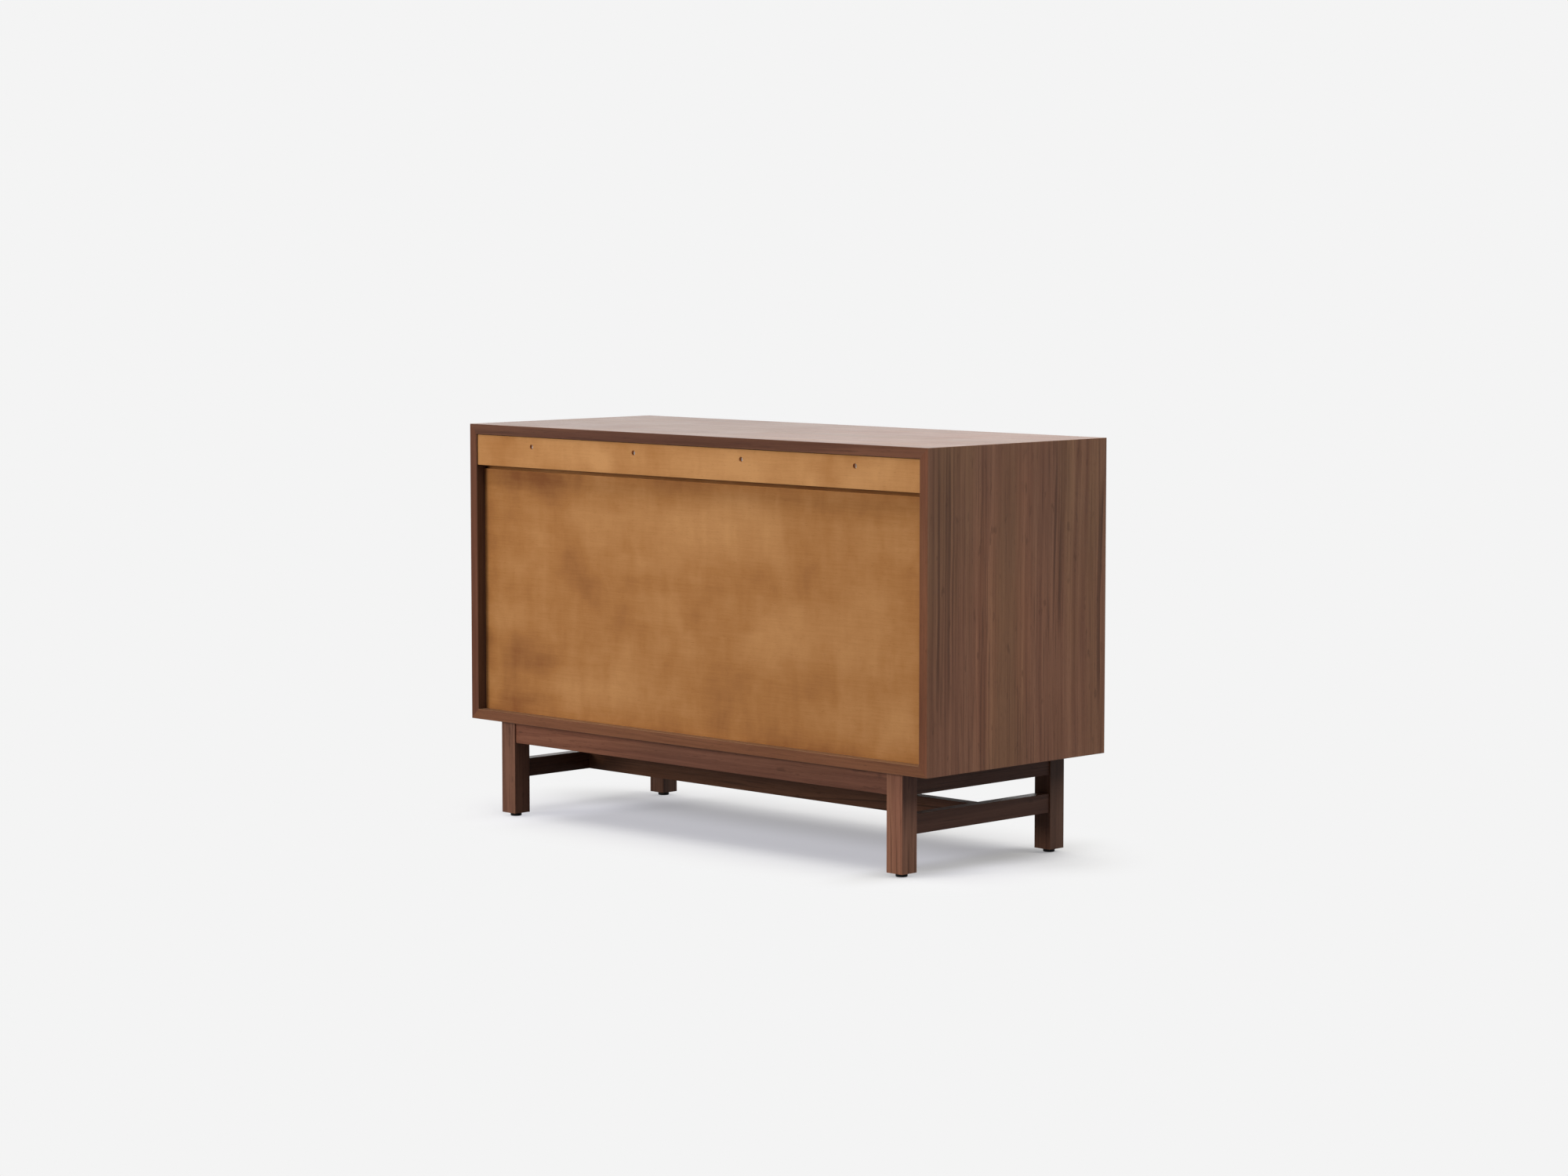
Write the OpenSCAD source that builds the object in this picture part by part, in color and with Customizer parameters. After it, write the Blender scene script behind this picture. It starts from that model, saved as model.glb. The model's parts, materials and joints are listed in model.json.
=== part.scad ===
// Media cabinet: a mitred walnut case with two pivot-hung doors and adjustable shelves,
// carried on a separate leg frame with low stretchers and screw-in levellers.
// Frame: X across the cabinet, the doors face -Y, the back faces +Y, +Z up.
// Origin: on the floor, below the centre of the case. All sizes in millimetres.

/* [Case] */
// Width of the case
case_w = 1200; // [1100:10:1300]
// Depth of the case, front edge to rear edge
case_d = 473; // [450:1:500]
// Height of the case without its base
case_h = 571; // [540:1:620]
// Thickness of the four case boards
board_t = 19.5; // [18:0.5:22]
// Thickness of the centre divider
divider_t = 19; // [16:1:22]

/* [Back] */
// Height of the solid rail across the top of the back
rail_h = 59; // [50:1:70]
// How far the rail sits in from the rear edges of the case
rail_recess = 2; // [1:0.5:4]
// How far the back panel sits in from the rear edges of the case
panel_recess = 20; // [16:1:22]
// Thickness of the back panel
panel_t = 6; // [5:0.5:8]
// Height of the shadow gap between the rail and the back panel
panel_gap = 8; // [5:0.5:12]
// Distance between neighbouring rail screws
rail_screw_pitch = 283; // [240:1:300]
// Distance from the top of the rail down to its screws
rail_screw_drop = 19; // [15:1:25]
// Diameter of the counterbores over the rail screws
rail_bore_d = 9.5; // [9:0.5:12]

/* [Doors] */
// Thickness of a door
door_t = 19; // [18:1:22]
// How far the doors sit back from the front edges of the case
door_setback = 20; // [19:1:26]
// Gap between a door's hinge edge and the case side
door_side_gap = 2.5; // [2.5:0.5:4]
// Gap above and below a door
door_end_gap = 2; // [2:0.5:3]
// Gap between the two doors
door_mid_gap = 3; // [2.5:0.5:5]
// Distance of the pivot from the door's hinge edge
pivot_in = 12; // [12:1:16]
// Distance of the pivot behind the door's front face
pivot_back = 7; // [6:0.5:7]
// Diameter of the pivot pins
pivot_pin_d = 5; // [4:0.5:6]
// Height of the knobs above the middle of the doors
knob_lift = 70; // [50:5:120]
// Diameter of the knob heads
knob_d = 24; // [20:1:30]

/* [Shelves] */
// Thickness of a shelf
shelf_t = 19; // [16:1:22]
// Depth of a shelf, front to back
shelf_d = 378; // [300:2:380]
// Height of the top of the shelves above the inside of the case bottom
shelf_level = 270; // [250:1:290]
// Step between neighbouring shelf pin holes
pin_step = 64; // [32:32:64]
// Diameter of the shelf pin holes
pin_hole_d = 5; // [5:0.5:6]

/* [Base] */
// Length of the legs, from the case down to the levellers
leg_len = 177.5; // [160:0.5:200]
// Width of the square legs
leg_w = 38; // [34:1:44]
// Distance from the case side to the outer face of a leg
leg_inset_x = 71; // [50:1:90]
// Distance from the rear edge of the case to the rear legs
leg_inset_rear = 14; // [10:1:30]
// Distance from the front edge of the case to the front legs
leg_inset_front = 28.5; // [10:0.5:40]
// Height of the aprons below the case
apron_h = 40.5; // [36:0.5:50]
// Thickness of the aprons and the stretchers
rail_stock_t = 25; // [22:1:28]
// How far aprons and stretchers sit in from the outer faces of the legs
rail_stock_setback = 3; // [1:0.5:5]
// Height of the low stretchers
stretcher_h = 35; // [30:1:40]
// Distance from the case down to the top of the stretchers
stretcher_drop = 75; // [70:1:90]

/* [Levellers] */
// Height of a leveller pad when it is screwed right in
pad_h = 7; // [6:0.5:10]
// Diameter of a leveller pad
pad_d = 21.5; // [18:0.5:28]
// Diameter of a leveller stem
stem_d = 8; // [6:1:8]
// Length of a leveller stem above its pad
stem_len = 30; // [26:1:34]

/* [Hidden] */
$fn = 48;

// Colours
walnut = [0.42, 0.29, 0.22];
walnut_door = [0.46, 0.31, 0.22];
birch = [0.70, 0.50, 0.31];
beech = [0.80, 0.66, 0.47];
brass = [0.78, 0.62, 0.33];
zinc = [0.72, 0.73, 0.74];
black = [0.07, 0.07, 0.07];
nylon = [0.90, 0.89, 0.85];

// Clearances
eps = 1;
glue_fit = 0.05;
run_fit = 0.05;
slip = 0.5;
rail_play = 0.9;
touch_gap = 0.3;
head_overlap = 0.5;

// Levels and faces of the case
z_case = pad_h + leg_len;
z_top = z_case + case_h;
z_floor_in = z_case + board_t;
z_roof_in = z_top - board_t;
z_mid = (z_case + z_top) / 2;
x_in = case_w / 2 - board_t;
y_front = -case_d / 2;
y_rear = case_d / 2;

// Back
y_panel_rear = y_rear - panel_recess;
y_panel_front = y_panel_rear - panel_t;
y_rail_rear = y_rear - rail_recess;
z_rail = z_roof_in - rail_h;
z_panel = z_rail - panel_gap;
groove_depth = 8;
panel_tongue = groove_depth - slip;
cleat_t = 18;
cleat_below_gap = 22;
z_cleat = z_panel - cleat_below_gap;
y_cleat_front = y_panel_front - cleat_t;
rail_bore_depth = 4.5;
rail_screw_d = 4.2;
rail_screw_len = 30;
rail_screw_z = z_roof_in - rail_screw_drop;
rail_screw_x = [for (i = [-1.5, -0.5, 0.5, 1.5]) i * rail_screw_pitch];

// Splines and dowels
spline_t = 4;
spline_w = 16;
spline_end = 30;
dowel_d = 8;
dowel_len = 20;
divider_dowel_y = [-150, 0, 130];
cleat_dowel_drop = [22, 62];

// Doors
door_w = x_in - door_side_gap - door_mid_gap / 2;
z_door = z_floor_in + door_end_gap;
z_door_top = z_roof_in - door_end_gap;
y_door = y_front + door_setback;
y_door_back = y_door + door_t;
pivot_x = x_in - door_side_gap - pivot_in;
pivot_y = y_door + pivot_back;
plate_w = 10;
plate_t = 3;
plate_len = 52;
plate_screw_x = [18, 42];
plate_screw_d = 3;
socket_screw_len = 14;
door_screw_len = 18;
pin_engagement = 6;
pin_room = 0.5;
case_ends = [[z_floor_in, -1], [z_roof_in, 1]];
door_ends = [[z_door, 1], [z_door_top, -1]];
washer_d = 9.5;
washer_play = 0.2;
washer_t = door_end_gap - washer_play;
knob_from_edge = 36;
knob_x = door_mid_gap / 2 + knob_from_edge;
knob_z = (z_door + z_door_top) / 2 + knob_lift;
knob_len = 18;
knob_bore_depth = 10;
knob_bore_spare = 1;
// Turned outline of a knob: shares of its head radius and of its length
knob_outline = [
    [0.67, 0],
    [0.67, 0.08],
    [0.42, 0.22],
    [0.42, 0.45],
    [0.92, 0.64],
    [1, 0.72],
    [1, 0.83],
    [0.88, 0.94],
    [0.67, 1]
];
knob_screw_d = 4;
knob_screw_head_d = 9.6;
knob_screw_head_h = 2.2;

// Catches and bumpers
catch_w = 44;
catch_d = 14;
catch_h = 13;
catch_x = 78;
magnet_w = 26;
magnet_h = 6;
magnet_d = 10;
strike_w = 34;
strike_h = 11;
strike_t = 1.5;
strike_drop = 9;
strike_screw_d = 3;
strike_screw_len = 12;
strike_screw_x = [-11, 11];
y_catch = y_door_back + strike_t + touch_gap;
catch_screw_x = [-17, 17];
catch_screw_d = 3;
catch_screw_bite = 10;
bumper_d = 6;
bumper_x = 5.2;
bumper_t = 1.7;
bumper_inset = 30;
divider_clear = 2;
y_divider = y_door_back + divider_clear;

// Shelves
shelf_gap = 1;
shelf_w = x_in - divider_t / 2 - 2 * shelf_gap;
shelf_front_inset = 8;
y_shelf = y_divider + shelf_front_inset;
z_shelf_top = z_floor_in + shelf_level;
z_shelf = z_shelf_top - shelf_t;
pin_play = 0.1;
pin_d = pin_hole_d - pin_play;
pin_hole_depth = 8.5;
pin_in = 8;
pin_out = 10;
pin_z = z_shelf - pin_d / 2;
pin_rows = [-1, 0, 1];
pin_setback = 40;
pin_y = [y_shelf + pin_setback, y_shelf + shelf_d - pin_setback];

// Base
leg_x = case_w / 2 - leg_inset_x - leg_w / 2;
leg_y_rear = y_rear - leg_inset_rear - leg_w / 2;
leg_y_front = y_front + leg_inset_front + leg_w / 2;
leg_rows = [[leg_y_front, -1], [leg_y_rear, 1]];
base_mid_y = (leg_y_rear + leg_y_front) / 2;
rail_off = leg_w / 2 - rail_stock_setback - rail_stock_t / 2;
z_apron = z_case - apron_h;
z_stretcher_top = z_case - stretcher_drop;
z_stretcher = z_stretcher_top - stretcher_h;
side_rail_x = leg_x + rail_off;
tenon_t = 8;
tenon_in_leg = 16;
tenon_in_rail = 20;
tenon_in_side = 12;
apron_tenon_h = 24;
stretcher_tenon_h = 20;
leg_tenon_len = tenon_in_leg + tenon_in_rail;
z_apron_mid = z_case - apron_h / 2;
z_stretcher_mid = z_stretcher + stretcher_h / 2;
side_tenons = [[z_apron_mid, apron_tenon_h], [z_stretcher_mid, stretcher_tenon_h]];
base_cleat_w = 18;
base_cleat_len = 800;
apron_inner = rail_stock_t / 2 - rail_off;
cleat_inner = apron_inner + base_cleat_w;
base_screw_x = [-360, -120, 120, 360];
apron_screw_x = [-240, 0, 240];
base_screw_d = 4;
base_screw_len = 32;

// Levellers
insert_d = 12;
insert_len = 15;
stem_room = 1;
stem_end_room = 4;
stem_hole_d = stem_d + stem_room;
stem_hole_depth = stem_len + stem_end_room;
pad_edge_r = 1.5;
pad_socket_depth = 4;

// ---------- shared shapes ----------

// A box between two opposite corners
module box(lo, hi) {
    translate(lo) cube(hi - lo);
}

// A box given by its centre and its size
module centred_box(centre, size) {
    translate(centre) cube(size, center = true);
}

// A rod along X, with its middle at the given place
module rod_x(centre, d, len) {
    translate(centre) rotate([0, 90, 0]) cylinder(d = d, h = len, center = true);
}

// A case board with mitred ends: outer face up at z = 0, mitres running inwards
module mitred_board(len) {
    rotate([90, 0, 0])
        linear_extrude(case_d, center = true)
            polygon([
                [-len / 2, 0],
                [len / 2, 0],
                [len / 2 - board_t, -board_t],
                [-len / 2 + board_t, -board_t]
            ]);
}

// A countersunk screw: head flush with z = 0, point towards -z; a grown one is its hole
module countersunk(d, len, grow = 0) {
    translate([0, 0, -d / 2 - grow]) cylinder(r1 = d / 2 + grow, r2 = d + grow, h = d / 2 + grow);
    translate([0, 0, -len - grow]) cylinder(r = d / 2 + grow, h = len - d / 2 + head_overlap);
    if (grow > 0) cylinder(r = d + grow, h = eps);
}

// ---------- case ----------

// The four splines that cross the mitres, grown by a glue allowance for their slots
module splines(grow = 0) {
    for (sx = [-1, 1], sz = [-1, 1])
        translate([sx * (case_w - board_t) / 2, 0, z_mid + sz * (case_h - board_t) / 2])
            rotate([0, sx * sz * 45, 0])
                cube([
                    spline_w + 2 * grow,
                    case_d - 2 * spline_end + 2 * grow,
                    spline_t + 2 * grow
                ], center = true);
}

module divider_dowel_rods(grow = 0) {
    for (y = divider_dowel_y, z = [z_floor_in, z_roof_in])
        translate([0, y, z])
            cylinder(d = dowel_d + 2 * grow, h = dowel_len + 2 * grow, center = true);
}

module cleat_dowel_rods(grow = 0) {
    for (sx = [-1, 1], drop = cleat_dowel_drop)
        rod_x(
            [sx * x_in, (y_panel_front + y_cleat_front) / 2, z_roof_in - drop],
            dowel_d + 2 * grow,
            dowel_len + 2 * grow
        );
}

// The back panel's tongue, grown by a small slip for its grooves
module panel_sheet(grow = 0) {
    box(
        [-x_in - panel_tongue - grow, y_panel_front, z_floor_in - panel_tongue - grow],
        [x_in + panel_tongue + grow, y_panel_rear, z_panel]
    );
}

// Outline of a pivot leaf, with its round nose over the pivot and its tail towards +x
module leaf_outline(grow = 0) {
    circle(d = plate_w + 2 * grow);
    translate([0, -plate_w / 2 - grow]) square([plate_len + grow, plate_w + 2 * grow]);
}

// The two screws of a pivot leaf, at their places in the leaf
module leaf_screws(len, grow = 0) {
    for (x = plate_screw_x)
        translate([x, 0, 0])
            mirror([0, 0, 1])
                countersunk(plate_screw_d, len, grow);
}

// Places its children at the four pivot ends: sx picks the door, sz the bottom or the top
module at_pivot(sx, z, sz) {
    translate([sx * pivot_x, pivot_y, z])
        mirror([sx > 0 ? 1 : 0, 0, 0])
            mirror([0, 0, sz > 0 ? 0 : 1])
                children();
}

// Pockets in a case board for the two socket leaves of one board
module socket_pockets(z, sz) {
    for (sx = [-1, 1])
        at_pivot(sx, z, sz) {
            linear_extrude(plate_t + glue_fit) leaf_outline(glue_fit);
            cylinder(d = pivot_pin_d + 2 * pin_room, h = pin_engagement + eps);
            leaf_screws(socket_screw_len, glue_fit);
        }
}

module catch_screw_set(grow = 0) {
    for (sx = [-1, 1], x = catch_screw_x)
        translate([sx * catch_x + x, y_catch + catch_d / 2, z_roof_in - catch_h])
            mirror([0, 0, 1])
                countersunk(catch_screw_d, catch_h + catch_screw_bite, grow);
}

module base_screw_set(grow = 0) {
    cleat_mid = apron_inner + base_cleat_w / 2;
    for (y = [leg_y_front + cleat_mid, leg_y_rear - cleat_mid], x = base_screw_x)
        translate([x, y, z_case - base_cleat_w])
            mirror([0, 0, 1])
                countersunk(base_screw_d, base_screw_len, grow);
}

module top_panel() {
    color(walnut) difference() {
        translate([0, 0, z_top]) mitred_board(case_w);
        splines(glue_fit);
        divider_dowel_rods(glue_fit);
        socket_pockets(z_roof_in, 1);
        catch_screw_set(glue_fit);
    }
}

module bottom_panel() {
    color(walnut) difference() {
        translate([0, 0, z_case]) mirror([0, 0, 1]) mitred_board(case_w);
        splines(glue_fit);
        divider_dowel_rods(glue_fit);
        socket_pockets(z_floor_in, -1);
        panel_sheet(slip);
        base_screw_set(glue_fit);
    }
}

module pin_holes(x_face, dir) {
    for (y = pin_y, row = pin_rows)
        translate([x_face, y, pin_z + row * pin_step])
            rotate([0, 90 * dir, 0])
                translate([0, 0, -eps])
                    cylinder(d = pin_hole_d, h = pin_hole_depth + eps);
}

module side_panel(sx) {
    color(walnut) difference() {
        translate([sx * case_w / 2, 0, z_mid]) rotate([0, sx * 90, 0]) mitred_board(case_h);
        splines(glue_fit);
        cleat_dowel_rods(glue_fit);
        panel_sheet(slip);
        pin_holes(sx * x_in, sx);
    }
}

module side_panel_left() {
    side_panel(-1);
}

module side_panel_right() {
    side_panel(1);
}

module mitre_splines() {
    color(beech) splines();
}

module center_divider() {
    color(walnut) difference() {
        box(
            [-divider_t / 2, y_divider, z_floor_in],
            [divider_t / 2, y_panel_front, z_roof_in]
        );
        box(
            [-divider_t, y_cleat_front, z_cleat],
            [divider_t, y_rear, z_top]
        );
        divider_dowel_rods(glue_fit);
        pin_holes(-divider_t / 2, 1);
        pin_holes(divider_t / 2, -1);
    }
}

module divider_dowels() {
    color(beech) divider_dowel_rods();
}

// ---------- back ----------

module rail_screw_places() {
    for (x = rail_screw_x)
        translate([x, y_rail_rear, rail_screw_z]) rotate([-90, 0, 0]) children();
}

module rail_screw_shape(grow = 0) {
    translate([0, 0, -rail_bore_depth]) countersunk(rail_screw_d, rail_screw_len, grow);
}

module back_panel() {
    color(birch) panel_sheet();
}

module back_rail() {
    color(birch) difference() {
        box(
            [-x_in + rail_play, y_panel_front, z_rail],
            [x_in - rail_play, y_rail_rear, z_roof_in - rail_play]
        );
        rail_screw_places() {
            translate([0, 0, -rail_bore_depth])
                cylinder(d = rail_bore_d, h = rail_bore_depth + eps);
            rail_screw_shape(glue_fit);
        }
    }
}

module back_rail_cleat() {
    color(birch) difference() {
        box([-x_in, y_cleat_front, z_cleat], [x_in, y_panel_front, z_roof_in]);
        rail_screw_places() rail_screw_shape(glue_fit);
        cleat_dowel_rods(glue_fit);
    }
}

module back_rail_screws() {
    color(zinc) rail_screw_places() rail_screw_shape();
}

module cleat_dowels() {
    color(beech) cleat_dowel_rods();
}

// ---------- shelves ----------

module shelf(sx) {
    x0 = divider_t / 2 + shelf_gap;
    color(walnut)
        mirror([sx > 0 ? 0 : 1, 0, 0])
            box([x0, y_shelf, z_shelf], [x0 + shelf_w, y_shelf + shelf_d, z_shelf_top]);
}

module shelf_left() {
    shelf(-1);
}

module shelf_right() {
    shelf(1);
}

// A pin with its inner end in the hole and a chamfered outer end under the shelf
module shelf_pin() {
    chamfer = 0.8;
    translate([0, 0, -pin_in]) cylinder(d = pin_d, h = pin_in + pin_out - chamfer);
    translate([0, 0, pin_out - chamfer]) cylinder(d1 = pin_d, d2 = pin_d - 2 * chamfer, h = chamfer);
}

module shelf_pins() {
    color(brass)
        for (sx = [-1, 1], y = pin_y) {
            translate([sx * x_in, y, pin_z]) rotate([0, -90 * sx, 0]) shelf_pin();
            translate([sx * divider_t / 2, y, pin_z]) rotate([0, 90 * sx, 0]) shelf_pin();
        }
}

// ---------- door fittings on the case ----------

module pivot_sockets() {
    color(brass)
        for (sx = [-1, 1], end = case_ends)
            at_pivot(sx, end[0], end[1])
                difference() {
                    linear_extrude(plate_t) leaf_outline();
                    translate([0, 0, -eps])
                        cylinder(d = pivot_pin_d + 2 * run_fit, h = plate_t + 2 * eps);
                    leaf_screws(socket_screw_len, glue_fit);
                }
}

module pivot_socket_screws() {
    color(brass)
        for (sx = [-1, 1], end = case_ends)
            at_pivot(sx, end[0], end[1]) leaf_screws(socket_screw_len);
}

module pivot_washers() {
    color(nylon)
        for (sx = [-1, 1])
            translate([sx * pivot_x, pivot_y, z_floor_in])
                difference() {
                    cylinder(d = washer_d, h = washer_t);
                    translate([0, 0, -eps])
                        cylinder(d = pivot_pin_d + 2 * run_fit, h = washer_t + 2 * eps);
                }
}

module magnet_blocks(grow = 0) {
    half_w = magnet_w / 2 + grow;
    half_h = magnet_h / 2 + grow;
    z = z_roof_in - strike_drop;
    for (sx = [-1, 1])
        box(
            [sx * catch_x - half_w, y_catch, z - half_h],
            [sx * catch_x + half_w, y_catch + magnet_d + grow, z + half_h]
        );
}

module catch_housings() {
    color(black) difference() {
        for (sx = [-1, 1])
            box(
                [sx * catch_x - catch_w / 2, y_catch, z_roof_in - catch_h],
                [sx * catch_x + catch_w / 2, y_catch + catch_d, z_roof_in]
            );
        translate([0, -eps, 0]) magnet_blocks(glue_fit);
        magnet_blocks(glue_fit);
        catch_screw_set(glue_fit);
    }
}

module catch_magnets() {
    color(zinc) magnet_blocks();
}

module catch_screws() {
    color(zinc) catch_screw_set();
}

module door_bumpers() {
    color(nylon)
        for (sx = [-1, 1], z = [z_door + bumper_inset, z_door_top - bumper_inset])
            translate([sx * bumper_x, y_divider, z])
                rotate([90, 0, 0])
                    cylinder(d = bumper_d, h = bumper_t);
}

// ---------- doors ----------

module door_screw_set(sx, grow = 0) {
    for (end = door_ends)
        at_pivot(sx, end[0], end[1]) leaf_screws(door_screw_len, grow);
}

module strike_screw_set(sx, grow = 0) {
    for (x = strike_screw_x)
        translate([sx * catch_x + x, y_door_back + strike_t, z_roof_in - strike_drop])
            rotate([-90, 0, 0])
                countersunk(strike_screw_d, strike_screw_len, grow);
}

module knob_screw_shape(sx, grow = 0) {
    translate([sx * knob_x, y_door_back, knob_z])
        rotate([90, 0, 0]) {
            translate([0, 0, -knob_screw_head_h])
                cylinder(d = knob_screw_head_d, h = knob_screw_head_h);
            cylinder(
                d = knob_screw_d + 2 * grow,
                h = door_t + knob_bore_depth - knob_bore_spare + grow
            );
        }
}

module door(sx) {
    color(walnut_door) difference() {
        mirror([sx > 0 ? 0 : 1, 0, 0])
            box(
                [door_mid_gap / 2, y_door, z_door],
                [door_mid_gap / 2 + door_w, y_door_back, z_door_top]
            );
        for (end = door_ends)
            at_pivot(sx, end[0], end[1])
                translate([0, 0, -eps])
                    linear_extrude(plate_t + glue_fit + eps)
                        leaf_outline(glue_fit);
        door_screw_set(sx, glue_fit);
        strike_screw_set(sx, glue_fit);
        knob_screw_shape(sx, glue_fit);
    }
}

module door_left() {
    door(-1);
}

module door_right() {
    door(1);
}

// A turned knob on the front face: a flared foot, a waist and a flat-domed head
module knob(sx) {
    color(brass)
        translate([sx * knob_x, y_door, knob_z])
            rotate([90, 0, 0])
                difference() {
                    rotate_extrude()
                        polygon([
                            [0, 0],
                            for (p = knob_outline) [p[0] * knob_d / 2, p[1] * knob_len],
                            [0, knob_len]
                        ]);
                    translate([0, 0, -eps])
                        cylinder(d = knob_screw_d + 2 * glue_fit, h = knob_bore_depth + eps);
                }
}

module knob_left() {
    knob(-1);
}

module knob_right() {
    knob(1);
}

module knob_screw_left() {
    color(zinc) knob_screw_shape(-1);
}

module knob_screw_right() {
    color(zinc) knob_screw_shape(1);
}

// The two leaves let into one door's ends, each with its pivot pin
module pivot_plates(sx) {
    color(brass)
        for (end = door_ends)
            at_pivot(sx, end[0], end[1]) {
                difference() {
                    linear_extrude(plate_t) leaf_outline();
                    leaf_screws(door_screw_len, glue_fit);
                }
                translate([0, 0, -door_end_gap - pin_engagement])
                    cylinder(d = pivot_pin_d, h = door_end_gap + pin_engagement + plate_t);
            }
}

module pivot_plates_left() {
    pivot_plates(-1);
}

module pivot_plates_right() {
    pivot_plates(1);
}

module pivot_screws_left() {
    color(brass) door_screw_set(-1);
}

module pivot_screws_right() {
    color(brass) door_screw_set(1);
}

module catch_strike(sx) {
    color(zinc) difference() {
        centred_box(
            [sx * catch_x, y_door_back + strike_t / 2, z_roof_in - strike_drop],
            [strike_w, strike_t, strike_h]
        );
        strike_screw_set(sx, glue_fit);
    }
    color(zinc) strike_screw_set(sx);
}

module catch_strike_left() {
    catch_strike(-1);
}

module catch_strike_right() {
    catch_strike(1);
}

// ---------- base ----------

// All loose tenons, grown by a glue allowance for their mortises
module tenon_set(grow = 0) {
    for (sx = [-1, 1]) {
        for (leg = leg_rows) {
            y_rail = leg[0] + leg[1] * rail_off;
            y_face = leg[0] - leg[1] * leg_w / 2;
            x_face = sx * (leg_x - leg_w / 2);
            // Long apron into the leg
            centred_box(
                [x_face + sx * (tenon_in_leg - tenon_in_rail) / 2, y_rail, z_apron_mid],
                [leg_tenon_len + 2 * grow, tenon_t + 2 * grow, apron_tenon_h + 2 * grow]
            );
            // Side apron and side stretcher into the leg
            y_mid = y_face + leg[1] * (tenon_in_leg - tenon_in_rail) / 2;
            for (rail = side_tenons)
                centred_box(
                    [sx * side_rail_x, y_mid, rail[0]],
                    [tenon_t + 2 * grow, leg_tenon_len + 2 * grow, rail[1] + 2 * grow]
                );
        }
        // Centre stretcher into the side stretcher
        centred_box(
            [
                sx * (side_rail_x - rail_stock_t / 2 + (tenon_in_side - tenon_in_rail) / 2),
                base_mid_y,
                z_stretcher_mid
            ],
            [tenon_in_side + tenon_in_rail + 2 * grow, tenon_t + 2 * grow, stretcher_tenon_h + 2 * grow]
        );
    }
}

module leg(sx, y) {
    color(walnut) difference() {
        box(
            [sx * leg_x - leg_w / 2, y - leg_w / 2, pad_h],
            [sx * leg_x + leg_w / 2, y + leg_w / 2, z_case]
        );
        tenon_set(glue_fit);
        translate([sx * leg_x, y, pad_h - eps]) {
            cylinder(d = insert_d + 2 * glue_fit, h = insert_len + eps);
            cylinder(d = stem_hole_d, h = stem_hole_depth + eps);
        }
    }
}

module leg_front_left() {
    leg(-1, leg_y_front);
}

module leg_front_right() {
    leg(1, leg_y_front);
}

module leg_rear_left() {
    leg(-1, leg_y_rear);
}

module leg_rear_right() {
    leg(1, leg_y_rear);
}

module base_tenons() {
    color(beech) tenon_set();
}

// Screws from the base cleats into the long aprons
module apron_screw_set(grow = 0) {
    for (leg = leg_rows, x = apron_screw_x)
        translate([x, leg[0] - leg[1] * cleat_inner, z_case - base_cleat_w / 2])
            rotate([leg[1] * 90, 0, 0])
                countersunk(base_screw_d, base_screw_len, grow);
}

module long_apron(y_leg, out) {
    color(walnut) difference() {
        centred_box(
            [0, y_leg + out * rail_off, z_apron_mid],
            [2 * leg_x - leg_w, rail_stock_t, apron_h]
        );
        tenon_set(glue_fit);
        apron_screw_set(glue_fit);
    }
}

module apron_front() {
    long_apron(leg_y_front, -1);
}

module apron_rear() {
    long_apron(leg_y_rear, 1);
}

// A rail between the front and rear leg of one side
module side_rail(sx, z, h) {
    color(walnut) difference() {
        centred_box(
            [sx * side_rail_x, base_mid_y, z + h / 2],
            [rail_stock_t, leg_y_rear - leg_y_front - leg_w, h]
        );
        tenon_set(glue_fit);
    }
}

module apron_left() {
    side_rail(-1, z_apron, apron_h);
}

module apron_right() {
    side_rail(1, z_apron, apron_h);
}

module stretcher_left() {
    side_rail(-1, z_stretcher, stretcher_h);
}

module stretcher_right() {
    side_rail(1, z_stretcher, stretcher_h);
}

module stretcher_center() {
    color(walnut) difference() {
        centred_box(
            [0, base_mid_y, z_stretcher_mid],
            [2 * side_rail_x - rail_stock_t, rail_stock_t, stretcher_h]
        );
        tenon_set(glue_fit);
    }
}

module base_cleats() {
    color(beech) difference() {
        for (leg = leg_rows)
            centred_box(
                [0, leg[0] - leg[1] * (apron_inner + base_cleat_w / 2), z_case - base_cleat_w / 2],
                [base_cleat_len, base_cleat_w, base_cleat_w]
            );
        base_screw_set(glue_fit);
        apron_screw_set(glue_fit);
    }
}

module base_screws() {
    color(zinc) {
        base_screw_set();
        apron_screw_set();
    }
}

// ---------- levellers ----------

module leveller_inserts() {
    color(brass)
        for (sx = [-1, 1], y = [leg_y_front, leg_y_rear])
            translate([sx * leg_x, y, pad_h])
                difference() {
                    cylinder(d = insert_d, h = insert_len);
                    translate([0, 0, -eps]) cylinder(d = stem_d, h = insert_len + 2 * eps);
                }
}

// A round pad with an eased lower edge and a blind socket for its stem
module leveller_pad(sx, y) {
    color(black)
        translate([sx * leg_x, y, 0])
            difference() {
                rotate_extrude() {
                    square([pad_d / 2 - pad_edge_r, pad_h - touch_gap]);
                    translate([0, pad_edge_r]) square([pad_d / 2, pad_h - touch_gap - pad_edge_r]);
                    translate([pad_d / 2 - pad_edge_r, pad_edge_r]) circle(r = pad_edge_r);
                }
                translate([0, 0, pad_h - touch_gap - pad_socket_depth])
                    cylinder(d = stem_d - 2 * run_fit + 2 * glue_fit, h = pad_socket_depth + eps);
            }
}

module leveller_stem(sx, y) {
    color(zinc)
        translate([sx * leg_x, y, pad_h - touch_gap - pad_socket_depth + glue_fit])
            cylinder(d = stem_d - 2 * run_fit, h = stem_len + pad_socket_depth);
}

module leveller_pad_front_left() {
    leveller_pad(-1, leg_y_front);
}

module leveller_stem_front_left() {
    leveller_stem(-1, leg_y_front);
}

module leveller_pad_front_right() {
    leveller_pad(1, leg_y_front);
}

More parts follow.
